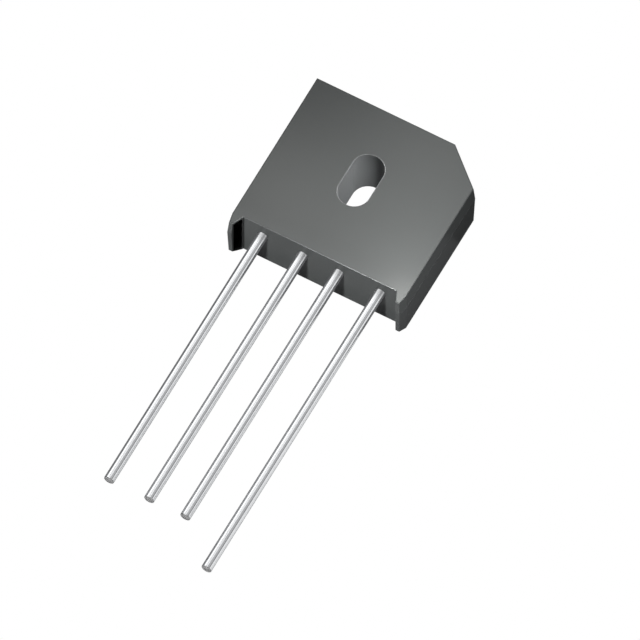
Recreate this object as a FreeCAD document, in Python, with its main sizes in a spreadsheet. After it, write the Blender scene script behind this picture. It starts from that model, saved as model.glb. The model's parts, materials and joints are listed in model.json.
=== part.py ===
import FreeCAD, Part
import Sketcher
import math
import os
import re

# Single in-line bridge rectifier: a moulded epoxy case around four silicon dice,
# copper plates and jumpers, with four round wire leads and a slot for one screw.
# Millimetres and degrees. The part lies on its flat back: +X runs across the leads
# to the plus side, +Y to the top edge, +Z up to the front face, and the leads
# point to -Y. The origin is on the back face, on the axis of the screw slot.

# The outline of the case is measured at the parting plane of its mould.
CASE = {
    "case_width": 22.83,
    "case_depth": 7.50,
    "front_depth": 2.20,  # from the parting plane to the front face
    "front_draft_angle": 4.4,
    "back_draft_angle": 1.8,
    "slot_shift": 0.475,  # the slot lies this far to the minus side of the middle
    "slot_to_top": 9.44,
    "slot_to_floor": 10.57,  # to the recessed bottom face that the leads leave
    "slot_width": 3.88,
    "slot_length": 7.09,
    "corner_cut_across": 4.73,
    "corner_cut_down": 4.16,
    "ear_length": 1.53,
    "ear_root_width": 1.52,
    "ear_flare_angle": 25.5,  # slant of the inner face of an ear
    "ear_taper_length": 1.40,
    "ear_taper_depth": 0.26,
    "ear_back_angle": 36.0,  # slope that thins an ear from the back
    "edge_round": 0.12,
}

LEADS = {
    "lead_diameter": 1.27,
    "lead_height": 5.30,  # lead axis above the back face
    "lead_group_shift": 0.215,  # middle of the four leads from the middle of the case
    "pitch_minus_to_ac": 5.20,
    "pitch_between_ac": 4.68,
    "pitch_ac_to_plus": 5.36,
    "lead_length": 36.25,
    "plus_lead_length": 41.00,
    "lead_tip_bevel": 0.08,
    "lead_cover": 0.10,  # round wire inside the case, before its end is coined flat
    "foot_width": 2.10,
    "foot_thickness": 0.60,
    "foot_bend_angle": 75.0,
    "foot_bend_radius": 0.20,
    "foot_lead_in": 0.10,  # flat stretch before the first bend
    "foot_length": 1.10,  # flat length soldered to a plate
    "foot_margin": 0.15,  # least distance from a foot to the edge of its plate
}

INSIDE = {
    "plate_height": 1.50,  # epoxy under the copper plates
    "plate_thickness": 0.80,
    "plate_gap": 0.60,
    "side_wall": 1.10,
    "top_wall": 1.20,
    "floor_wall": 0.75,
    "slot_wall": 1.10,
    "minus_arm_width": 1.70,
    "plus_leg_length": 6.40,
    "solder_thickness": 0.08,
    "die_side": 3.20,
    "die_thickness": 0.30,
    "die_edge_bevel": 0.10,
    "die_margin": 0.15,
    "jumper_width": 1.60,
    "jumper_thickness": 0.40,
    "contact_share": 0.40,  # flat length soldered to a die, of the width of a middle plate
    "jumper_foot": 1.00,  # flat length soldered to a plate
    "jumper_foot_margin": 0.40,
    "jumper_lift": 0.70,
    "jumper_bend_angle": 60.0,
    "jumper_bend_radius": 0.20,
}

SIZES = {**CASE, **LEADS, **INSIDE}

# Places worked out from the sizes, in the order in which they build on each other
PLACES = {
    # Outline of the case at the parting plane
    "parting_height": "case_depth - front_depth",
    "case_left": "slot_shift - case_width / 2",
    "case_right": "slot_shift + case_width / 2",
    "floor_y": "-slot_to_floor",
    "ear_tip_y": "floor_y - ear_length",
    "ear_taper_y": "ear_tip_y + ear_taper_length",
    "ear_left_x": "case_left + ear_taper_depth",
    "ear_right_x": "case_right - ear_taper_depth",
    "corner_cut_x": "case_right - corner_cut_across",
    "corner_cut_y": "slot_to_top - corner_cut_down",
    # Recess between the ears and slope on their backs, both run past the tips
    "mouth_y": "ear_tip_y - ear_length",
    "recess_left": "case_left + ear_root_width",
    "recess_right": "case_right - ear_root_width",
    "mouth_flare": "2 * ear_length * tan(ear_flare_angle * 1 deg)",
    "mouth_left": "recess_left - mouth_flare",
    "mouth_right": "recess_right + mouth_flare",
    "slope_high": "2 * ear_length * tan(ear_back_angle * 1 deg)",
    "slope_low": "-ear_length",
    "slope_low_y": "floor_y + ear_length / tan(ear_back_angle * 1 deg)",
    # Screw slot
    "slot_radius": "slot_width / 2",
    "slot_upper_y": "(slot_length - slot_width) / 2",
    "slot_lower_y": "-slot_upper_y",
    "slot_side": "slot_width / 2 + slot_wall",
    "slot_other_side": "-slot_side",
    "slot_above": "slot_length / 2 + slot_wall",
    "slot_below": "-slot_above",
    # Levels of the pieces inside
    "plate_top": "plate_height + plate_thickness",
    "die_level": "plate_top + solder_thickness",
    "die_top": "die_level + die_thickness",
    "contact_level": "die_top + solder_thickness",
    "high_level": "contact_level + jumper_lift",
    # Leads
    "lead_radius": "lead_diameter / 2",
    "lead_span": "pitch_minus_to_ac + pitch_between_ac + pitch_ac_to_plus",
    "minus_x": "slot_shift + lead_group_shift - lead_span / 2",
    "ac_left_x": "minus_x + pitch_minus_to_ac",
    "ac_right_x": "ac_left_x + pitch_between_ac",
    "plus_x": "ac_right_x + pitch_ac_to_plus",
    "lead_tip_y": "floor_y - lead_length",
    "plus_lead_tip_y": "floor_y - plus_lead_length",
    "coin_y": "floor_y + lead_cover",
    # Coined end of a lead, bent down to its plate
    "foot_high": "lead_height - foot_thickness / 2",
    "foot_half_turn": "tan(foot_bend_angle * 0.5 deg)",
    "foot_shift": "foot_thickness * foot_half_turn",
    "foot_outer_radius": "foot_bend_radius + foot_thickness",
    "foot_fall_top": "coin_y + foot_lead_in + foot_bend_radius * foot_half_turn",
    "foot_fall_low": "foot_fall_top + (foot_high - die_level) / tan(foot_bend_angle * 1 deg)",
    "foot_start": "foot_fall_low + foot_outer_radius * foot_half_turn",
    "foot_end": "foot_start + foot_length",
    "foot_land": "foot_width / 2 + foot_margin",
    # Copper plates
    "plate_low": "floor_y + floor_wall",
    "plate_left": "case_left + side_wall",
    "plate_right": "case_right - side_wall",
    "plate_high": "slot_to_top - top_wall",
    "minus_arm_right": "plate_left + minus_arm_width",
    "minus_tail_top": "foot_end + foot_margin",
    "minus_tail_right": "minus_x + foot_land",
    "ac_left_edge": "minus_arm_right + plate_gap",
    "ac_left_low": "minus_tail_top + plate_gap",
    "ac_left_tail": "minus_tail_right + plate_gap",
    "ac_left_tail_end": "ac_left_x + foot_land",
    "ac_right_tail_end": "ac_right_x - foot_land",
    "plus_arm_left": "plus_x - foot_land",
    "ac_right_edge": "plus_arm_left - plate_gap",
    "plus_leg_low": "plate_high - plus_leg_length",
    "plus_cut_x": "plate_right - corner_cut_across",
    "plus_cut_y": "plate_high - corner_cut_down",
    # Dice
    "left_column_x": "(ac_left_edge - slot_side) / 2",
    "right_column_x": "(ac_right_edge + slot_side) / 2",
    "lower_row_y": "ac_left_low + die_margin + die_side / 2",
    "upper_row_y": "plus_leg_low + die_margin + die_side / 2",
    # Bends of the jumpers
    "jumper_contact": "contact_share * (slot_other_side - ac_left_edge)",
    "run_from_plate": "(high_level - die_level) / tan(jumper_bend_angle * 1 deg)",
    "run_from_die": "jumper_lift / tan(jumper_bend_angle * 1 deg)",
    "jumper_shift": "jumper_thickness * tan(jumper_bend_angle * 0.5 deg)",
    "jumper_outer_radius": "jumper_bend_radius + jumper_thickness",
    "bend_reach": "jumper_outer_radius * tan(jumper_bend_angle * 0.5 deg)",
    # Jumpers from the plates of the middle leads up to the upper dice
    "ac_foot_start": "lower_row_y + die_side / 2 + plate_gap",
    "ac_foot_end": "ac_foot_start + jumper_foot",
    "ac_foot_bend": "ac_foot_end + bend_reach",
    "ac_rise_top": "ac_foot_bend + run_from_plate",
    "ac_contact_start": "upper_row_y - jumper_contact / 2",
    "ac_contact_end": "upper_row_y + jumper_contact / 2",
    "ac_fall_low": "ac_contact_start - bend_reach",
    "ac_fall_top": "ac_fall_low - run_from_die",
    "ac_plate_top": "ac_foot_end + jumper_foot_margin",
    # Jumper from the minus plate to both lower dice
    "minus_jumper_y": "min(lower_row_y; slot_below - jumper_width / 2)",
    "minus_arm_top": "minus_jumper_y + jumper_width / 2 + die_margin",
    "minus_foot_start": "plate_left + die_margin",
    "minus_foot_end": "minus_foot_start + jumper_foot",
    "minus_foot_bend": "minus_foot_end + bend_reach",
    "minus_rise_top": "minus_foot_bend + run_from_plate",
    "left_contact_start": "left_column_x - jumper_contact / 2",
    "left_contact_end": "left_column_x + jumper_contact / 2",
    "left_fall_low": "left_contact_start - bend_reach",
    "left_fall_top": "left_fall_low - run_from_die",
    "left_rise_low": "left_contact_end + bend_reach",
    "left_rise_top": "left_rise_low + run_from_die",
    "right_contact_start": "right_column_x - jumper_contact / 2",
    "right_contact_end": "right_column_x + jumper_contact / 2",
    "right_fall_low": "right_contact_start - bend_reach",
    "right_fall_top": "right_fall_low - run_from_die",
}

NORMAL = FreeCAD.Vector(0, 0, 1)
START = FreeCAD.Vector(1, 1, 0)  # where a circle is drawn before its dimensions move it
SAME_PLACE = 1e-4
SOLDERED_LEVELS = ("die_level", "contact_level")

doc = FreeCAD.newDocument("bridge_rectifier")
SHEET_OF = {}


def fill_sheet(sheet_name, cells):
    """A sheet with one named cell a row."""
    sheet = doc.addObject("Spreadsheet::Sheet", sheet_name)
    for row, (name, content) in enumerate(cells, 1):
        sheet.set(f"A{row}", name)
        sheet.set(f"B{row}", content)
        sheet.setAlias(f"B{row}", name)
        SHEET_OF[name] = sheet_name
    return sheet


def in_sheets(formula):
    """The formula with each name of a cell preceded by the name of its sheet."""
    return re.sub(
        r"[a-z_]+",
        lambda word: f"{SHEET_OF[word[0]]}.{word[0]}" if word[0] in SHEET_OF else word[0],
        formula,
    )


def bind(item, formulas):
    """Tie properties of an object to formulas on the cells of the sheets."""
    for name, formula in formulas.items():
        item.setExpression(name, in_sheets(formula))


def cell(name):
    """Value of one cell."""
    return float(doc.getObject(SHEET_OF[name]).get(name))


def sketch_on(body, name, role, offset=None):
    """Empty sketch on one of the body's own planes, or at an offset from it."""
    sketch = body.newObject("Sketcher::SketchObject", name)
    plane = [item for item in body.Origin.OriginFeatures if item.Role == role][0]
    sketch.AttachmentSupport = [(plane, "")]
    sketch.MapMode = "FlatFace"
    if offset:
        bind(sketch, {"AttachmentOffset.Base.z": offset})
    return sketch


def tie(sketch, kind, references, start, formula):
    """One dimension of a sketch, tied to a formula."""
    place = sketch.addConstraint(Sketcher.Constraint(kind, *references, start))
    bind(sketch, {f"Constraints[{place}]": formula})


def join_ends(sketch, sides, kind="Coincident"):
    """Join the end of each side to the start of the next, all the way round."""
    for side, following in zip(sides, sides[1:] + sides[:1]):
        sketch.addConstraint(Sketcher.Constraint(kind, side, 2, following, 1))


def outline(sketch, corners):
    """Closed outline of straight sides. A corner is a pair of formulas, across and up."""
    turn = 2 * math.pi / len(corners)
    angles = [turn * number for number in range(len(corners))]
    ring = [FreeCAD.Vector(math.cos(angle), math.sin(angle), 0) for angle in angles]
    sides = [
        sketch.addGeometry(Part.LineSegment(here, there), False)
        for here, there in zip(ring, ring[1:] + ring[:1])
    ]
    join_ends(sketch, sides)
    for side, start, (across, up) in zip(sides, ring, corners):
        tie(sketch, "DistanceX", (-1, 1, side, 1), start.x, across)
        tie(sketch, "DistanceY", (-1, 1, side, 1), start.y, up)


def circle(sketch, across, up, radius):
    """Circle with its centre and radius given by formulas."""
    ring = sketch.addGeometry(Part.Circle(START, NORMAL, 1.0), False)
    tie(sketch, "DistanceX", (-1, 1, ring, 3), START.x, across)
    tie(sketch, "DistanceY", (-1, 1, ring, 3), START.y, up)
    tie(sketch, "Radius", (ring,), 1.0, radius)


def new_body(label):
    """Empty body whose label names the sub-part."""
    body = doc.addObject("PartDesign::Body", label)
    body.Label = label
    return body


def pad(body, sketch, side_type, formulas):
    """Solid raised from a sketch."""
    feature = body.newObject("PartDesign::Pad", sketch.Name + "_pad")
    feature.Profile = sketch
    feature.SideType = side_type
    bind(feature, formulas)
    doc.recompute()
    return feature


def pocket(body, sketch):
    """Cut through the whole solid, on both sides of the sketch."""
    before = body.Shape.Volume
    feature = body.newObject("PartDesign::Pocket", sketch.Name + "_cut")
    feature.Profile = sketch
    feature.SideType = "Symmetric"
    feature.Type = "ThroughAll"
    doc.recompute()
    if body.Shape.Volume > before - SAME_PLACE:
        raise RuntimeError(f"{feature.Name} cuts nothing")
    return feature


def round_edges(body, name, edges, radius):
    """Fillet on edges of the body's last feature."""
    base = body.Tip
    feature = body.newObject("PartDesign::Fillet", name)
    feature.Base = (base, edges)
    bind(feature, {"Radius": radius})
    doc.recompute()
    return feature


def edges_in_plane(shape, axis, place):
    """Names of the edges that lie in a plane square to an axis."""
    return [
        f"Edge{number}"
        for number, edge in enumerate(shape.Edges, 1)
        if abs(getattr(edge.BoundBox, axis + "Min") - place) < SAME_PLACE
        and abs(getattr(edge.BoundBox, axis + "Max") - place) < SAME_PLACE
    ]


def edges_over(shape, points, direction):
    """Names of the edges that run along a direction through any of the points."""
    return [
        f"Edge{number}"
        for number, edge in enumerate(shape.Edges, 1)
        if any(
            all((end.Point - point).cross(direction).Length < SAME_PLACE for end in edge.Vertexes)
            for point in points
        )
    ]


def slot_outline(sketch):
    """Slot with round ends, its long way up the sketch."""
    radius = cell("slot_radius")
    reach = FreeCAD.Vector(radius, 0, 0)
    upper = FreeCAD.Vector(0, cell("slot_upper_y"), 0)
    lower = FreeCAD.Vector(0, cell("slot_lower_y"), 0)
    upper_end = Part.ArcOfCircle(Part.Circle(upper, NORMAL, radius), 0, math.pi)
    lower_end = Part.ArcOfCircle(Part.Circle(lower, NORMAL, radius), math.pi, 2 * math.pi)
    sides = [
        sketch.addGeometry(upper_end, False),
        sketch.addGeometry(Part.LineSegment(upper - reach, lower - reach), False),
        sketch.addGeometry(lower_end, False),
        sketch.addGeometry(Part.LineSegment(lower + reach, upper + reach), False),
    ]
    join_ends(sketch, sides, "Tangent")
    ends = ((sides[0], upper, "slot_upper_y"), (sides[2], lower, "slot_lower_y"))
    for arc, centre, name in ends:
        tie(sketch, "DistanceX", (-1, 1, arc, 3), 0, "0")
        tie(sketch, "DistanceY", (-1, 1, arc, 3), centre.y, name)
    tie(sketch, "Radius", (sides[0],), radius, "slot_radius")


def case_form():
    """Outer form of the case, solid inside."""
    body = new_body("case_form")
    sketch = sketch_on(body, "case_outline", "XY_Plane", "parting_height")
    outline(sketch, (
        ("case_left", "slot_to_top"),
        ("case_left", "ear_taper_y"),
        ("ear_left_x", "ear_tip_y"),
        ("ear_right_x", "ear_tip_y"),
        ("case_right", "ear_taper_y"),
        ("case_right", "corner_cut_y"),
        ("corner_cut_x", "slot_to_top"),
    ))
    pad(body, sketch, "Two sides", {
        "Length": "front_depth",
        "TaperAngle": "-front_draft_angle",
        "Length2": "parting_height",
        "TaperAngle2": "-back_draft_angle",
    })
    recess = sketch_on(body, "recess", "XY_Plane", "parting_height")
    outline(recess, (
        ("recess_left", "floor_y"),
        ("mouth_left", "mouth_y"),
        ("mouth_right", "mouth_y"),
        ("recess_right", "floor_y"),
    ))
    pocket(body, recess)
    slot = sketch_on(body, "screw_slot", "XY_Plane", "parting_height")
    slot_outline(slot)
    pocket(body, slot)
    rims = edges_in_plane(body.Shape, "Z", cell("case_depth")) + edges_in_plane(body.Shape, "Z", 0)
    round_edges(body, "case_rims", rims, "edge_round")
    slope = sketch_on(body, "ear_slope", "YZ_Plane")
    outline(slope, (
        ("slope_low_y", "slope_low"),
        ("mouth_y", "slope_low"),
        ("mouth_y", "slope_high"),
    ))
    pocket(body, slope)
    return body


def bent_strip(body, name, plane, kind, stations):
    """Bent strip added to a body. A station is the place and level of its underside, and its slope."""
    shifts = {"flat": "", "rise": f" - {kind}_shift", "fall": f" + {kind}_shift"}
    under = [(place, level) for place, level, slope in stations]
    over = [
        (place + shifts[slope], f"{level} + {kind}_thickness") for place, level, slope in stations
    ]
    side = sketch_on(body, name + "_side", *plane)
    outline(side, under + over[::-1])
    pad(body, side, "Symmetric", {"Length": f"{kind}_width"})
    corners = [side.Placement.multVec(line.StartPoint) for line in side.Geometry]
    inner = []
    outer = []
    for number, (place, level, slope) in enumerate(stations):
        if slope == "flat":
            continue
        below = corners[number]
        above = corners[len(corners) - 1 - number]
        low = level in SOLDERED_LEVELS
        inner.append(above if low else below)
        outer.append(below if low else above)
    across = side.Placement.Rotation.multVec(NORMAL)
    inside = edges_over(body.Shape, inner, across)
    round_edges(body, name + "_inside", inside, f"{kind}_bend_radius")
    outside = edges_over(body.Shape, outer, across)
    round_edges(body, name + "_outside", outside, f"{kind}_outer_radius")
    return body


def lead(label, across, tip):
    """Round wire whose end inside the case is coined flat and bent down to its plate."""
    body = new_body(label)
    section = sketch_on(body, label + "_section", "XZ_Plane", "-coin_y")
    circle(section, "0", "lead_height", "lead_radius")
    pad(body, section, "One side", {"Length": "coin_y - " + tip})
    base = body.Tip
    bevel = body.newObject("PartDesign::Chamfer", label + "_tip")
    bevel.Base = (base, edges_in_plane(base.Shape, "Y", cell(tip)))
    bind(bevel, {"Size": "lead_tip_bevel"})
    doc.recompute()
    bent_strip(body, label + "_foot", ("YZ_Plane",), "foot", (
        ("coin_y", "foot_high", "flat"),
        ("foot_fall_top", "foot_high", "fall"),
        ("foot_fall_low", "die_level", "fall"),
        ("foot_end", "die_level", "flat"),
    ))
    bind(body, {"Placement.Base.x": across})
    return body


def plate(label, corners):
    """Punched copper plate."""
    body = new_body(label)
    blank = sketch_on(body, label + "_blank", "XY_Plane", "plate_height")
    outline(blank, corners)
    pad(body, blank, "One side", {"Length": "plate_thickness"})
    return body


def plates():
    """The four copper plates, side by side in one plane."""
    return [
        plate("minus_plate", (
            ("plate_left", "minus_arm_top"),
            ("plate_left", "plate_low"),
            ("minus_tail_right", "plate_low"),
            ("minus_tail_right", "minus_tail_top"),
            ("minus_arm_right", "minus_tail_top"),
            ("minus_arm_right", "minus_arm_top"),
        )),
        plate("ac_plate_left", (
            ("ac_left_edge", "ac_plate_top"),
            ("ac_left_edge", "ac_left_low"),
            ("ac_left_tail", "ac_left_low"),
            ("ac_left_tail", "plate_low"),
            ("ac_left_tail_end", "plate_low"),
            ("ac_left_tail_end", "slot_below"),
            ("slot_other_side", "slot_below"),
            ("slot_other_side", "ac_plate_top"),
        )),
        plate("ac_plate_right", (
            ("ac_right_edge", "ac_plate_top"),
            ("slot_side", "ac_plate_top"),
            ("slot_side", "slot_below"),
            ("ac_right_tail_end", "slot_below"),
            ("ac_right_tail_end", "plate_low"),
            ("ac_right_edge", "plate_low"),
        )),
        plate("plus_plate", (
            ("plate_left", "plate_high"),
            ("plate_left", "plus_leg_low"),
            ("slot_other_side", "plus_leg_low"),
            ("slot_other_side", "slot_above"),
            ("slot_side", "slot_above"),
            ("slot_side", "plus_leg_low"),
            ("plus_arm_left", "plus_leg_low"),
            ("plus_arm_left", "plate_low"),
            ("plate_right", "plate_low"),
            ("plate_right", "plus_cut_y"),
            ("plus_cut_x", "plate_high"),
        )),
    ]


def die(label, column, row):
    """Silicon diode die, anode up, with a bevel etched round its top."""
    body = new_body(label)
    square = sketch_on(body, label + "_square", "XY_Plane", "die_level")
    outline(square, (
        (column + " - die_side / 2", row + " - die_side / 2"),
        (column + " + die_side / 2", row + " - die_side / 2"),
        (column + " + die_side / 2", row + " + die_side / 2"),
        (column + " - die_side / 2", row + " + die_side / 2"),
    ))
    pad(body, square, "One side", {"Length": "die_thickness"})
    base = body.Tip
    bevel = body.newObject("PartDesign::Chamfer", label + "_bevel")
    bevel.Base = (base, edges_in_plane(base.Shape, "Z", cell("die_top")))
    bind(bevel, {"Size": "die_edge_bevel"})
    doc.recompute()
    return body


def solder_layer(label, centre, level, size):
    """Thin layer of solder between two flat faces."""
    layer = doc.addObject("Part::Box", label)
    layer.Label = label
    bind(layer, {
        "Length": size[0],
        "Width": size[1],
        "Height": "solder_thickness",
        "Placement.Base.x": f"{centre[0]} - {size[0]} / 2",
        "Placement.Base.y": f"{centre[1]} - {size[1]} / 2",
        "Placement.Base.z": level,
    })
    return layer


def ac_jumper(label, column):
    """Strip from the plate of a middle lead up to the die above it."""
    return bent_strip(new_body(label), label, ("YZ_Plane", column), "jumper", (
        ("ac_foot_start", "die_level", "flat"),
        ("ac_foot_bend", "die_level", "rise"),
        ("ac_rise_top", "high_level", "rise"),
        ("ac_fall_top", "high_level", "fall"),
        ("ac_fall_low", "contact_level", "fall"),
        ("ac_contact_end", "contact_level", "flat"),
    ))


def minus_jumper():
    """Strip from the minus plate across both lower dice."""
    plane = ("XZ_Plane", "-minus_jumper_y")
    return bent_strip(new_body("minus_jumper"), "minus_jumper", plane, "jumper", (
        ("minus_foot_start", "die_level", "flat"),
        ("minus_foot_bend", "die_level", "rise"),
        ("minus_rise_top", "high_level", "rise"),
        ("left_fall_top", "high_level", "fall"),
        ("left_fall_low", "contact_level", "fall"),
        ("left_rise_low", "contact_level", "rise"),
        ("left_rise_top", "high_level", "rise"),
        ("right_fall_top", "high_level", "fall"),
        ("right_fall_low", "contact_level", "fall"),
        ("right_contact_end", "contact_level", "flat"),
    ))


def inner_pieces():
    """Everything that the case is moulded round."""
    pieces = [
        lead("minus_lead", "minus_x", "lead_tip_y"),
        lead("ac_lead_left", "ac_left_x", "lead_tip_y"),
        lead("ac_lead_right", "ac_right_x", "lead_tip_y"),
        lead("plus_lead", "plus_x", "plus_lead_tip_y"),
        *plates(),
        minus_jumper(),
    ]
    whole_die = ("die_side", "die_side")
    contact_across = ("jumper_contact", "jumper_width")
    contact_along = ("jumper_width", "jumper_contact")
    foot_across = ("jumper_foot", "jumper_width")
    foot_along = ("jumper_width", "jumper_foot")
    foot_row = "(ac_foot_start + ac_foot_end) / 2"
    foot_column = "(minus_foot_start + minus_foot_end) / 2"
    for side, column in (("left", "left_column_x"), ("right", "right_column_x")):
        for height, row, contact_row, contact in (
            ("lower", "lower_row_y", "minus_jumper_y", contact_across),
            ("upper", "upper_row_y", "upper_row_y", contact_along),
        ):
            place = f"{height}_{side}"
            pieces += [
                solder_layer(f"solder_under_die_{place}", (column, row), "plate_top", whole_die),
                die(f"die_{place}", column, row),
                solder_layer(f"solder_on_die_{place}", (column, contact_row), "die_top", contact),
            ]
        pieces += [
            solder_layer(f"solder_under_jumper_{side}", (column, foot_row), "plate_top", foot_along),
            ac_jumper(f"ac_jumper_{side}", column),
        ]
    minus_foot = (foot_column, "minus_jumper_y")
    pieces += [
        solder_layer("solder_under_minus_jumper", minus_foot, "plate_top", foot_across),
    ]
    lead_foot = ("foot_width", "foot_length")
    lead_foot_row = "(foot_start + foot_end) / 2"
    for name, across in (
        ("minus_lead", "minus_x"),
        ("ac_lead_left", "ac_left_x"),
        ("ac_lead_right", "ac_right_x"),
        ("plus_lead", "plus_x"),
    ):
        pieces.append(
            solder_layer("solder_" + name, (across, lead_foot_row), "plate_top", lead_foot)
        )
    return pieces


def moulded_case(pieces):
    """The case, with the room that each inner piece takes up."""
    room = doc.addObject("Part::MultiFuse", "room_for_inner_pieces")
    room.Shapes = pieces
    case = doc.addObject("Part::Cut", "moulded_case")
    case.Base = case_form()
    case.Tool = room
    case.Label = "moulded_case"
    doc.recompute()
    return case


def check(parts):
    """Stop if an object of the document failed, or a sub-part isn't one sound solid."""
    for item in doc.Objects:
        if "Invalid" in item.State or "Error" in item.State:
            raise RuntimeError(f"{item.Label} failed: {item.State}")
    for item in parts:
        if item.Shape.isNull() or not item.Shape.isValid() or len(item.Shape.Solids) != 1:
            raise RuntimeError(f"{item.Label} isn't one sound solid")


def build():
    fill_sheet("Sizes", [(name, str(value)) for name, value in SIZES.items()])
    fill_sheet("Places", [(name, "=" + in_sheets(formula)) for name, formula in PLACES.items()])
    doc.recompute()
    pieces = inner_pieces()
    parts = [moulded_case(pieces), *pieces]
    check(parts)
    os.makedirs("parts", exist_ok=True)
    for item in parts:
        item.Shape.exportStep(f"parts/{item.Label}.step")
    print(len(parts), "sub-parts written")


build()
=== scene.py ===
"""Looks of the bridge rectifier: moulded epoxy case, tinned wire leads, studio and camera."""
import json
import math

import bmesh
import bpy
from mathutils import Matrix, Vector


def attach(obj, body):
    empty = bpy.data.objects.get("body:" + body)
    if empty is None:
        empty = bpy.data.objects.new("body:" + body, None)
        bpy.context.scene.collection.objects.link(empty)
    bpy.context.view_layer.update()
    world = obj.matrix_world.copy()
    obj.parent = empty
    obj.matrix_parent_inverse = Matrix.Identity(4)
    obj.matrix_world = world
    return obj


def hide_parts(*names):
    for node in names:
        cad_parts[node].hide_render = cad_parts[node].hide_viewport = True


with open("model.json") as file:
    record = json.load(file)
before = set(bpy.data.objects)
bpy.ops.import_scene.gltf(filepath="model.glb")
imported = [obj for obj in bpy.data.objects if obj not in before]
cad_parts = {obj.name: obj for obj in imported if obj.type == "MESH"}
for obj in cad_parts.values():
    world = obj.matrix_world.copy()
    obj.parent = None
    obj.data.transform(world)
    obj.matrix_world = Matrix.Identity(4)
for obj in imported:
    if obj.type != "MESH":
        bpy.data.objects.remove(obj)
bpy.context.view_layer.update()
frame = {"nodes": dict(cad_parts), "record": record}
nodes = frame["nodes"]
MM = 0.001  # sizes and places are in mm where they aren't multiplied by this


# Camera
CAMERA_AZIMUTH = 28.81
CAMERA_ELEVATION = 61.06
CAMERA_DISTANCE = 300 * MM
CAMERA_NEAREST = 10 * MM
CAMERA_FARTHEST = 2000 * MM
VIEW_WIDTH = 72.645 * MM  # what the square picture spans
VIEW_RIGHT = -4.656 * MM  # middle of the picture from the origin, along the picture
VIEW_UP = -12.203 * MM


def make_camera():
    """Parallel view from above the front face, past the plus side's lower corner."""
    azimuth = math.radians(CAMERA_AZIMUTH)
    elevation = math.radians(CAMERA_ELEVATION)
    right = Vector((math.cos(azimuth), math.sin(azimuth), 0))
    towards = Vector((
        math.cos(elevation) * math.sin(azimuth),
        -math.cos(elevation) * math.cos(azimuth),
        math.sin(elevation),
    ))
    up = towards.cross(right)
    data = bpy.data.cameras.new("camera")
    data.type = "ORTHO"
    data.ortho_scale = VIEW_WIDTH
    data.clip_start = CAMERA_NEAREST
    data.clip_end = CAMERA_FARTHEST
    camera = bpy.data.objects.new("camera", data)
    bpy.context.scene.collection.objects.link(camera)
    middle = right * VIEW_RIGHT + up * VIEW_UP
    turn = Matrix((right, up, towards)).transposed().to_4x4()
    camera.matrix_world = Matrix.Translation(middle + towards * CAMERA_DISTANCE) @ turn
    bpy.context.scene.camera = camera


# Node trees
MIX_FIRST = 6  # sockets of a Mix node that mixes colours
MIX_SECOND = 7
MIX_RESULT = 2
BUMP_DEPTH = 0.004 * MM


def grey(level, warm=0.0):
    return (level * (1 + warm), level, level * (1 - warm))


def opaque(colour):
    return (*colour, 1.0)


WHITE = opaque(grey(1.0))
BLACK = opaque(grey(0.0))


class Nodes:
    """Short way to write the node tree of a material or world."""

    def __init__(self, owner):
        owner.use_nodes = True
        self.tree = owner.node_tree
        self.tree.nodes.clear()

    def add(self, kind, inputs=None, **settings):
        node = self.tree.nodes.new(kind)
        for name, value in settings.items():
            setattr(node, name, value)
        for name, value in (inputs or {}).items():
            self.put(node, name, value)
        return node

    def put(self, node, name, value):
        socket = node.inputs[name]
        if isinstance(value, bpy.types.NodeSocket):
            self.tree.links.new(value, socket)
        else:
            socket.default_value = value

    def place(self):
        """Place on the part in metres."""
        return self.add("ShaderNodeTexCoord").outputs["Object"]

    def along_leads(self, vector):
        """The share of a place or direction that runs along the leads."""
        return self.add("ShaderNodeSeparateXYZ", {"Vector": vector}).outputs["Y"]

    def noise(self, vector, scale, detail, roughness=0.5):
        inputs = {"Vector": vector, "Scale": scale, "Detail": detail, "Roughness": roughness}
        return self.add("ShaderNodeTexNoise", inputs).outputs[0]

    def between(self, value, low, high):
        """The value, 0 to 1, brought to run from low to high."""
        inputs = {"Value": value, "To Min": low, "To Max": high}
        return self.add("ShaderNodeMapRange", inputs).outputs[0]

    def rise(self, value, start, end, top=1.0, kind="LINEAR"):
        """Rises from 0 to the top while the value goes from start to end."""
        inputs = {"Value": value, "From Min": start, "From Max": end, "To Max": top}
        return self.add("ShaderNodeMapRange", inputs, interpolation_type=kind).outputs[0]

    def scaled_sum(self, value, factor, base):
        inputs = {0: value, 1: factor, 2: base}
        return self.add("ShaderNodeMath", inputs, operation="MULTIPLY_ADD").outputs[0]

    def ramp(self, value, ends, colours):
        """Goes from the first colour to the second while the value goes from end to end."""
        node = self.add("ShaderNodeValToRGB", {"Fac": value})
        for point, end, colour in zip(node.color_ramp.elements, ends, colours):
            point.position = end
            point.color = opaque(colour)
        return node.outputs[0]

    def blend(self, share, first, second):
        """The first colour with the given share of the second."""
        inputs = {"Factor": share, MIX_FIRST: first, MIX_SECOND: opaque(second)}
        return self.add("ShaderNodeMix", inputs, data_type="RGBA").outputs[MIX_RESULT]

    def bump(self, height, strength):
        inputs = {"Height": height, "Strength": strength, "Distance": BUMP_DEPTH}
        return self.add("ShaderNodeBump", inputs).outputs[0]

    def either(self, share, first, second):
        """The first shader, or by its share the second."""
        inputs = {"Fac": share, 1: first.outputs[0], 2: second.outputs[0]}
        return self.add("ShaderNodeMixShader", inputs)

    def white_to_camera(self, shader, glow):
        """The shader for all light, and an even white glow for the camera."""
        white = self.add(glow, {"Color": WHITE, "Strength": 1.0})
        seen = self.add("ShaderNodeLightPath").outputs["Is Camera Ray"]
        return self.either(seen, shader, white)

    def finish(self, shader, output="ShaderNodeOutputMaterial"):
        self.add(output, {"Surface": shader.outputs[0]})


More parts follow.
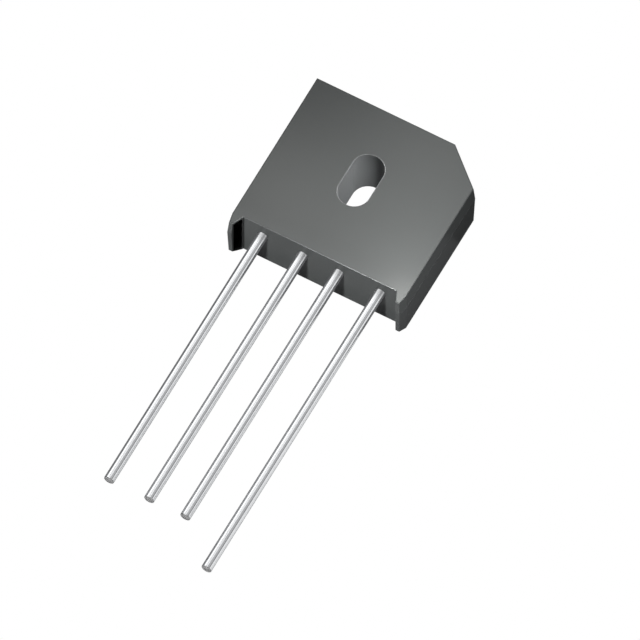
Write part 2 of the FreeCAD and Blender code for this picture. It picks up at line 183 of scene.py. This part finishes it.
# Materials: a noise scale is the number of its cells in a metre
EPOXY_DARK = (0.0435, 0.046, 0.0465)
EPOXY_LIGHT = (0.0505, 0.0535, 0.054)
EPOXY_FILLER = (0.097, 0.101, 0.102)
EPOXY_CLOUDS = 90.0
EPOXY_SPECKS = 9000.0
EPOXY_GRAIN = 16000.0
CLOUD_ENDS = (0.25, 0.75)  # noise values that give the first and the second colour
FILLER_SHARE = 0.10
GRAIN_STRENGTH = 0.12
EPOXY_ROUGHNESS = (0.36, 0.42)
EPOXY_GLOSS = 0.5

TIN_DARK = grey(0.80, -0.012)
TIN_LIGHT = grey(0.87, -0.012)
# colour of the painted reflection of the dark case on the wire close to it
TIN_PAINTED_CASE_REFLECTION = grey(0.46, -0.01)
TIN_CUT = grey(0.56)
TIN_MARKS = 9000.0
TIN_PATCHES = 260.0
MARK_STRETCH = (1.0, 0.012, 1.0)  # the marks of the drawing die run along the wire
MARK_STRENGTH = 0.10
METAL_ENDS = (0.3, 0.7)  # noise values that give the first and the second colour
NEAR_CASE = (-12.3 * MM, -10.6 * MM)  # where the wire is painted darker towards the case, a painted reflection of the dark case, and made rougher
NEAR_CASE_SHARE = 0.8
CUT_FACING = (0.35, 0.80)  # how far along the wire a surface faces that looks cut
TIN_ROUGHNESS = (0.13, 0.18)
NEAR_CASE_ROUGHER = 0.18
CUT_ROUGHER = 0.40

METAL_CLOUDS = 1200.0
METAL_ROUGHNESS_SPAN = 0.12


def new_material(name):
    material = bpy.data.materials.new(name)
    return material, Nodes(material)


def epoxy():
    """Moulding compound: dark, dull, with a fine spark-eroded texture and filler specks."""
    material, tree = new_material("epoxy")
    place = tree.place()
    cloud = tree.noise(place, EPOXY_CLOUDS, detail=3.0)
    specks = tree.noise(place, EPOXY_SPECKS, detail=2.0)
    grain = tree.noise(place, EPOXY_GRAIN, detail=3.0, roughness=0.6)
    colour = tree.ramp(cloud, CLOUD_ENDS, (EPOXY_DARK, EPOXY_LIGHT))
    shader = tree.add("ShaderNodeBsdfPrincipled", {
        "Base Color": tree.blend(tree.between(specks, 0.0, FILLER_SHARE), colour, EPOXY_FILLER),
        "Roughness": tree.between(cloud, *EPOXY_ROUGHNESS),
        "Specular IOR Level": EPOXY_GLOSS,
        "Normal": tree.bump(grain, GRAIN_STRENGTH),
    })
    tree.finish(shader)
    return material


def tinned_wire():
    """Bright tin over drawn copper wire: duller where it was cut, and rougher close to the case
    with a painted reflection of the dark case.
    """
    material, tree = new_material("tinned_wire")
    place = tree.place()
    stretched = tree.add("ShaderNodeMapping", {"Vector": place, "Scale": MARK_STRETCH}).outputs[0]
    marks = tree.noise(stretched, TIN_MARKS, detail=3.0, roughness=0.6)
    patches = tree.noise(place, TIN_PATCHES, detail=2.0)
    facing = tree.along_leads(tree.add("ShaderNodeNewGeometry").outputs["Normal"])
    steep = tree.add("ShaderNodeMath", {0: facing}, operation="ABSOLUTE").outputs[0]
    cut = tree.rise(steep, *CUT_FACING)
    # painted reflection: the tin is painted darker towards the case in place of the dark case's
    # reflection, and made rougher there
    painted_reflection_and_rougher = tree.rise(tree.along_leads(place), *NEAR_CASE, NEAR_CASE_SHARE, "SMOOTHSTEP")
    bright = tree.ramp(marks, METAL_ENDS, (TIN_DARK, TIN_LIGHT))
    round_side = tree.blend(painted_reflection_and_rougher, bright, TIN_PAINTED_CASE_REFLECTION)
    rough = tree.scaled_sum(painted_reflection_and_rougher, NEAR_CASE_ROUGHER, tree.between(patches, *TIN_ROUGHNESS))
    shader = tree.add("ShaderNodeBsdfPrincipled", {
        "Base Color": tree.blend(cut, round_side, TIN_CUT),
        "Metallic": 1.0,
        "Roughness": tree.scaled_sum(cut, CUT_ROUGHER, rough),
        "Normal": tree.bump(marks, MARK_STRENGTH),
    })
    tree.finish(shader)
    return material


def inner_metal(name, dark, light, roughness):
    """Metal of the pieces inside the case, with a clouded surface."""
    material, tree = new_material(name)
    cloud = tree.noise(tree.place(), METAL_CLOUDS, detail=4.0)
    shader = tree.add("ShaderNodeBsdfPrincipled", {
        "Base Color": tree.ramp(cloud, METAL_ENDS, (dark, light)),
        "Metallic": 1.0,
        "Roughness": tree.between(cloud, roughness, roughness + METAL_ROUGHNESS_SPAN),
    })
    tree.finish(shader)
    return material


def dress(item, material):
    item.data.materials.clear()
    item.data.materials.append(material)


MATERIALS = {
    "epoxy": epoxy(),
    "tinned_wire": tinned_wire(),
    "copper": inner_metal("copper", (0.72, 0.40, 0.29), (0.84, 0.52, 0.40), 0.32),
    "solder": inner_metal("solder", grey(0.46), grey(0.62), 0.38),
    "silicon": inner_metal("silicon", (0.22, 0.23, 0.26), (0.34, 0.35, 0.39), 0.30),
}
for subpart in frame["record"]["subparts"]:
    dress(nodes[subpart["node"]], MATERIALS[subpart["material_slot"]])


# Meshes
SHARP_ANGLE = 35  # degrees between faces that meet in a sharp edge


def join_rings(mesh, rings, smooth):
    """Faces from each ring of corners to the next, where a ring of one corner makes a point."""
    for first, second in zip(rings, rings[1:]):
        count = max(len(first), len(second))
        for side in range(count):
            ahead = (side + 1) % count
            corners = [
                first[side % len(first)], first[ahead % len(first)],
                second[ahead % len(second)], second[side % len(second)],
            ]
            face = mesh.faces.new(list(dict.fromkeys(corners)))
            face.smooth = smooth


def close_ends(mesh, rings):
    mesh.faces.new(rings[0])
    mesh.faces.new(rings[-1][::-1])


def new_piece(name, mesh, slot):
    """Object of the mesh, which rides on the part and has the finish of a slot."""
    data = bpy.data.meshes.new(name)
    bmesh.ops.recalc_face_normals(mesh, faces=mesh.faces)
    mesh.to_mesh(data)
    mesh.free()
    data.set_sharp_from_angle(angle=math.radians(SHARP_ANGLE))
    piece = bpy.data.objects.new(name, data)
    bpy.context.scene.collection.objects.link(piece)
    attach(piece, "root")
    dress(piece, MATERIALS[slot])
    return piece


# Leads: the CAD wire inside the case, and a finer round wire outside with a rounded, cut tip
WIRE_RADIUS = 0.635
WIRE_HEIGHT = 5.30
WIRE_SIDES = 96
WIRE_START = -10.40  # the finer wire starts here, just inside the case
COINED_FROM = -10.46  # the CAD wire is kept from here inwards
TIP_ROUND = 0.07
TIP_STEPS = 5
TIP_CROWN = 0.01  # how far the cut face stands out in its middle
LEADS = {  # place across the case and place of the tip
    "minus_lead": (-6.93, -46.82),
    "ac_lead_left": (-1.73, -46.82),
    "ac_lead_right": (2.95, -46.82),
    "plus_lead": (8.31, -51.57),
}


def wire_profile(tip):
    """Radius and place along Y from inside the case to the middle of the cut face."""
    profile = [(0.0, WIRE_START), (WIRE_RADIUS, WIRE_START)]
    corner = tip + TIP_CROWN + TIP_ROUND
    for step in range(TIP_STEPS + 1):
        turn = math.pi / 2 * step / TIP_STEPS
        profile.append((
            WIRE_RADIUS - TIP_ROUND + TIP_ROUND * math.cos(turn),
            corner - TIP_ROUND * math.sin(turn),
        ))
    profile.append((0.0, tip))
    return profile


def spin(mesh, profile, across, height):
    """Closed surface that the profile makes round an axis along Y."""
    rings = []
    for radius, along in profile:
        ring = []
        for side in range(WIRE_SIDES if radius else 1):
            turn = 2 * math.pi * side / WIRE_SIDES
            x = across + radius * math.cos(turn)
            z = height + radius * math.sin(turn)
            ring.append(mesh.verts.new(Vector((x, along, z)) * MM))
        rings.append(ring)
    join_rings(mesh, rings, smooth=True)


def make_lead(node, across, tip):
    """Wire that takes the place of a lead, with the coined end of the CAD wire."""
    mesh = bmesh.new()
    mesh.from_mesh(nodes[node].data)
    outside = [vert for vert in mesh.verts if vert.co.y < COINED_FROM * MM]
    bmesh.ops.delete(mesh, geom=outside, context="VERTS")
    bmesh.ops.holes_fill(mesh, edges=[edge for edge in mesh.edges if edge.is_boundary])
    spin(mesh, wire_profile(tip), across, WIRE_HEIGHT)
    piece = new_piece(node + "_wire", mesh, "tinned_wire")
    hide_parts(node)
    return piece


# Trace of the mould on the case: flash along the parting line
PARTING_HEIGHT = 5.30
FLASH_REACH = 0.012  # how far it stands out of the case, and into it
FLASH_FOOT = 0.024  # half of its height inside the case
FLASH_EDGE = 0.0048  # half of the height of its blunt edge
PARTING_LINE = (  # from the minus side's ear over the top to the plus side's ear
    (-10.68, -12.10), (-10.94, -10.70), (-10.94, 9.44), (7.16, 9.44),
    (11.89, 5.28), (11.89, -10.70), (11.63, -12.10),
)


def make_flash():
    """Fine ridge with a blunt edge that follows the parting line from ear to ear."""
    mesh = bmesh.new()
    line = [Vector((x, y, PARTING_HEIGHT)) for x, y in PARTING_LINE]
    foot = Vector((0, 0, FLASH_FOOT))
    edge = Vector((0, 0, FLASH_EDGE))
    sections = []
    for index, here in enumerate(line):
        before = line[max(index - 1, 0)]
        after = line[min(index + 1, len(line) - 1)]
        normals = [
            Vector((-step.y, step.x, 0)).normalized()
            for step in (here - before, after - here) if step.length
        ]
        out = sum(normals, Vector()).normalized()
        out *= FLASH_REACH / out.dot(normals[0])
        section = [here - out - foot, here + out - edge, here + out + edge, here - out + foot]
        sections.append([mesh.verts.new(point * MM) for point in section])
    join_rings(mesh, sections, smooth=False)
    close_ends(mesh, sections)
    return new_piece("parting_flash", mesh, "epoxy")


# Burnished edges of the front face: fine beads in the fillets of the slot and over the leads
BEAD_RADIUS = 0.055
BEAD_SIDES = 12
BEAD_HEIGHT = 7.445  # just under the front face
SLOT_RIM = (1.98, 1.605)  # radius and half of the straight part of the bead round the slot
RIM_STEPS = 32
RECESS_EDGE = ((-9.44, -10.532), (10.39, -10.532))  # ends of the bead over the leads


def oblong(radius, half, steps):
    """Corners round a slot that runs along Y."""
    corners = []
    for end, start in ((half, 0), (-half, 180)):
        for step in range(steps + 1):
            turn = math.radians(start + 180 * step / steps)
            corners.append((radius * math.cos(turn), end + radius * math.sin(turn)))
    return corners


def make_bead(name, path, closed):
    """Round bar that follows the path at the height of the fillets."""
    mesh = bmesh.new()
    rings = []
    count = len(path)
    for index, (x, y) in enumerate(path):
        ahead = path[(index + 1) % count] if closed or index + 1 < count else (x, y)
        behind = path[index - 1] if closed or index else (x, y)
        out = Vector((ahead[1] - behind[1], behind[0] - ahead[0], 0)).normalized()
        ring = []
        for side in range(BEAD_SIDES):
            turn = 2 * math.pi * side / BEAD_SIDES
            reach = out * math.cos(turn) + Vector((0, 0, math.sin(turn)))
            place = Vector((x, y, BEAD_HEIGHT)) + reach * BEAD_RADIUS
            ring.append(mesh.verts.new(place * MM))
        rings.append(ring)
    if closed:
        join_rings(mesh, [*rings, rings[0]], smooth=True)
    else:
        join_rings(mesh, rings, smooth=True)
        close_ends(mesh, rings)
    return new_piece(name, mesh, "epoxy")


# Floor and sky. The sheets lie one over the other: the whole floor, one under the case, and two
# darker ones that the plus side of the case mirrors. Each has two opposite corners and its height
# in mm, then the levels of its dull and its glossy share.
SHEETS = {
    "floor": (((-600, -600), (600, 600)), -0.02, 0.50, 0.88),
    "mat": (((-60, -13), (60, 60)), -0.015, 0.50, 0.88),
    "shade": (((11.9, -3), (60, 60)), -0.012, 0.46, 0.82),
    "deep_shade": (((11.9, 2), (60, 60)), -0.01, 0.16, 0.26),
}
SHEET_SHINE = 0.85  # share of the glossy shader
SHEET_ROUGHNESS = 0.20
SKY_LEVEL = 0.20
SKY_COLOUR = (0.985, 0.995, 1.02)


def sheet_material(name, dull_level, shine_level):
    """Glossy sheet that the camera sees as plain white."""
    material, tree = new_material(name)
    dull = tree.add("ShaderNodeBsdfDiffuse", {"Color": opaque(grey(dull_level))})
    shine_inputs = {"Color": opaque(grey(shine_level)), "Roughness": SHEET_ROUGHNESS}
    shine = tree.add("ShaderNodeBsdfGlossy", shine_inputs)
    sheet = tree.either(SHEET_SHINE, dull, shine)
    tree.finish(tree.white_to_camera(sheet, "ShaderNodeEmission"))
    return material


def make_backdrop(name, corners, material):
    """One flat face that isn't part of the object, with its corners in mm."""
    mesh = bpy.data.meshes.new(name)
    mesh.from_pydata([Vector(corner) * MM for corner in corners], [], [range(len(corners))])
    backdrop = bpy.data.objects.new(name, mesh)
    bpy.context.scene.collection.objects.link(backdrop)
    dress(backdrop, material)
    return backdrop


def make_sheet(name, corners, height, dull_level, shine_level):
    (left, near), (right, far) = corners
    outline = [(left, near, 0), (right, near, 0), (right, far, 0), (left, far, 0)]
    sheet = make_backdrop(name, outline, sheet_material(name, dull_level, shine_level))
    sheet.location.z = height * MM
    return sheet


def make_world():
    """Even grey sky that the camera sees as plain white."""
    world = bpy.data.worlds.new("studio")
    bpy.context.scene.world = world
    tree = Nodes(world)
    sky_inputs = {"Color": opaque(SKY_COLOUR), "Strength": SKY_LEVEL}
    sky = tree.add("ShaderNodeBackground", sky_inputs)
    studio = tree.white_to_camera(sky, "ShaderNodeBackground")
    tree.finish(studio, "ShaderNodeOutputWorld")


# Black flags that no camera sees and that are clear from their back: corners in mm
EAR_FLAG = (  # keeps the slot's boxes off the inner side of the minus side's ear
    (-9.30, -10.62, 0.4), (-10.02, -12.08, 0.4), (-10.02, -12.08, 7.3), (-9.30, -10.62, 7.3),
)
UNDER_FLAG = (  # keeps them off the plus side of the case
    (8.5, -13, -0.03), (14, -13, -0.03), (14, 10, -0.03), (8.5, 10, -0.03),
)
FACE_FLAG = (  # keeps the front box off the front face
    (30, -30, 14.6), (-30, -30, 14.6), (-30, -30, 23), (30, -30, 23),
)
SLOT_PLUG = (1.86, 1.61)  # keeps what is over the case out of the slot: radius, half straight part
PLUG_HEIGHT = 7.52
PLUG_STEPS = 12


def flag_material():
    """Black from the front and clear from the back."""
    material, tree = new_material("flag")
    behind = tree.add("ShaderNodeNewGeometry").outputs["Backfacing"]
    black = tree.add("ShaderNodeBsdfDiffuse", {"Color": BLACK})
    tree.finish(tree.either(behind, black, tree.add("ShaderNodeBsdfTransparent")))
    return material


def make_flag(name, corners, material):
    flag = make_backdrop(name, corners, material)
    flag.visible_camera = False
    return flag


def plug_outline():
    """Corners of the plug, in the turn that makes it face down."""
    return [(x, y, PLUG_HEIGHT) for x, y in reversed(oblong(*SLOT_PLUG, PLUG_STEPS))]


# Round soft boxes: place, aim and size in mm, watts
CASE_BOXES = {  # for the case and what lies on it
    "front": ((0, -1000, 360), (0, -10, 4), 36, 12.5),
    "over_right": ((22, -10.6, 36), (12, -10, 4), 12, 0.0154),
    "over_ear": ((9.9, -8.1, 15), (12, -12, 7), 4, 0.00027),
    "over_end": ((7.3, -3.5, 25), (12, -12, 7), 8, 0.00027),
    "over_corner": ((2.7, 5, 42.5), (12, -12, 7), 16, 0.0026),
    "back_right": ((-3.2, 25, 46.5), (7, 6, 7), 14, 0.0027),
    "back_left": ((-18.5, 9.5, 46.5), (-8, -9, 7), 14, 0.0031),
    "back_middle": ((-11, 14, 46.5), (-1, -5, 7), 14, 0.0005),
}
CASE_LIGHT_COLOUR = (0.985, 1.0, 0.975)
BEAD_BOXES = {  # each for the bead of its name
    "slot_rim": ((19, 44, 42), (0, 0, 7), 50, 0.16),
    "recess_edge": ((5.2, -21.4, 23.5), (10, -10.5, 7.4), 7, 0.014),
}
END_BOX = ((-60, -240, 190), (0, -47, 5), 120, 0.10)  # for the cut ends of the leads
SLOT_BOXES = {  # for the wall of the slot: one beside it inside the case, one under the floor
    "slot_main": ((9, 2.3, 4), (-1.9, 1.5, 4), 5, 0.0037),
    "slot_side": ((9.8, 1.5, -15), (-1, 2, 4), 11, 0.0030),
}

# Long panels for the leads: degrees from overhead to the plus side, degrees towards the top edge
# of the case, width in mm, watts, and whether they light the leads and the floor
LEAD_PANELS = {
    "panel_left": (-45, 25, 195, 0.37, True, False),
    "panel_over": (-8, 25, 160, 0.190, True, False),
    "panel_fill": (24, 25, 255, 0.125, True, True),
    "panel_right": (82, 25, 200, 0.23, True, False),
    "panel_floor": (68, 25, 243, 0.32, False, True),
    "panel_ahead": (-10, -50, 120, 0.16, True, False),
}
PANEL_AIM = Vector((0, -30, 5))
PANEL_DISTANCE = 300
PANEL_LENGTH = 500


def collection_of(name, parts):
    group = bpy.data.collections.new(name)
    for part in parts:
        group.objects.link(part)
    return group


def soft_light(name, shape, place, watts, parts, blockers=None):
    """Area light that only the given parts receive, and that only the blockers hold back."""
    data = bpy.data.lights.new(name, "AREA")
    data.shape = shape
    data.energy = watts
    light = bpy.data.objects.new(name, data)
    bpy.context.scene.collection.objects.link(light)
    light.location = Vector(place) * MM
    light.rotation_mode = "QUATERNION"
    light.visible_camera = False
    light.light_linking.receiver_collection = collection_of(name + "_lights", parts)
    if blockers:
        light.light_linking.blocker_collection = collection_of(name + "_blockers", blockers)
    return light


def round_box(name, place, target, size, watts, parts, blockers=None):
    light = soft_light(name, "DISK", place, watts, parts, blockers)
    light.data.size = size * MM
    away = Vector(place) - Vector(target)
    light.rotation_quaternion = away.to_track_quat("Z", "Y")
    return light


def long_panel(name, angle, tilt, width, watts, parts, blockers):
    """Panel that stands along the leads at the given angles round the place it aims at."""
    turn = math.radians(angle)
    tilt = math.radians(tilt)
    away = Vector((
        math.sin(turn) * math.cos(tilt),
        math.sin(tilt),
        math.cos(turn) * math.cos(tilt),
    ))
    place = PANEL_AIM + away * PANEL_DISTANCE
    light = soft_light(name, "RECTANGLE", place, watts, parts, blockers)
    light.data.size = width * MM
    light.data.size_y = PANEL_LENGTH * MM
    side = Vector((0, 1, 0)).cross(away).normalized()
    along = away.cross(side)
    light.rotation_quaternion = Matrix((side, along, away)).transposed().to_quaternion()


# The scene is put together here
make_camera()
make_world()
sheets = {name: make_sheet(name, *sheet) for name, sheet in SHEETS.items()}
floor = sheets["floor"]
case = nodes["moulded_case"]
leads = [make_lead(node, *places) for node, places in LEADS.items()]
flash = make_flash()
beads = {
    "slot_rim": make_bead("slot_rim", oblong(*SLOT_RIM, RIM_STEPS), closed=True),
    "recess_edge": make_bead("recess_edge", RECESS_EDGE, closed=False),
}
cased = [case, flash, *beads.values()]

for name, box in CASE_BOXES.items():
    round_box(name, *box, cased).data.color = CASE_LIGHT_COLOUR
for name, (angle, tilt, width, watts, on_leads, on_floor) in LEAD_PANELS.items():
    lit = [*(leads if on_leads else []), *([floor] if on_floor else [])]
    long_panel(name, angle, tilt, width, watts, lit, leads)
for name, box in BEAD_BOXES.items():
    round_box(name, *box, [beads[name]], [beads[name]])
round_box("ends", *END_BOX, [*leads, floor], leads)
for item in [*nodes.values(), flash, *beads.values()]:
    item.visible_glossy = False

flag_black = flag_material()
ear_flag = make_flag("ear_flag", EAR_FLAG, flag_black)
under_flag = make_flag("under_flag", UNDER_FLAG, flag_black)
make_flag("slot_plug", plug_outline(), flag_black)
face_flag = make_flag("face_flag", FACE_FLAG, flag_black)
face_flag.visible_diffuse = False
face_flag.visible_glossy = False
for name, box in SLOT_BOXES.items():
    round_box(name, *box, [case], [ear_flag, under_flag])

bpy.context.scene.view_settings.view_transform = "Standard"
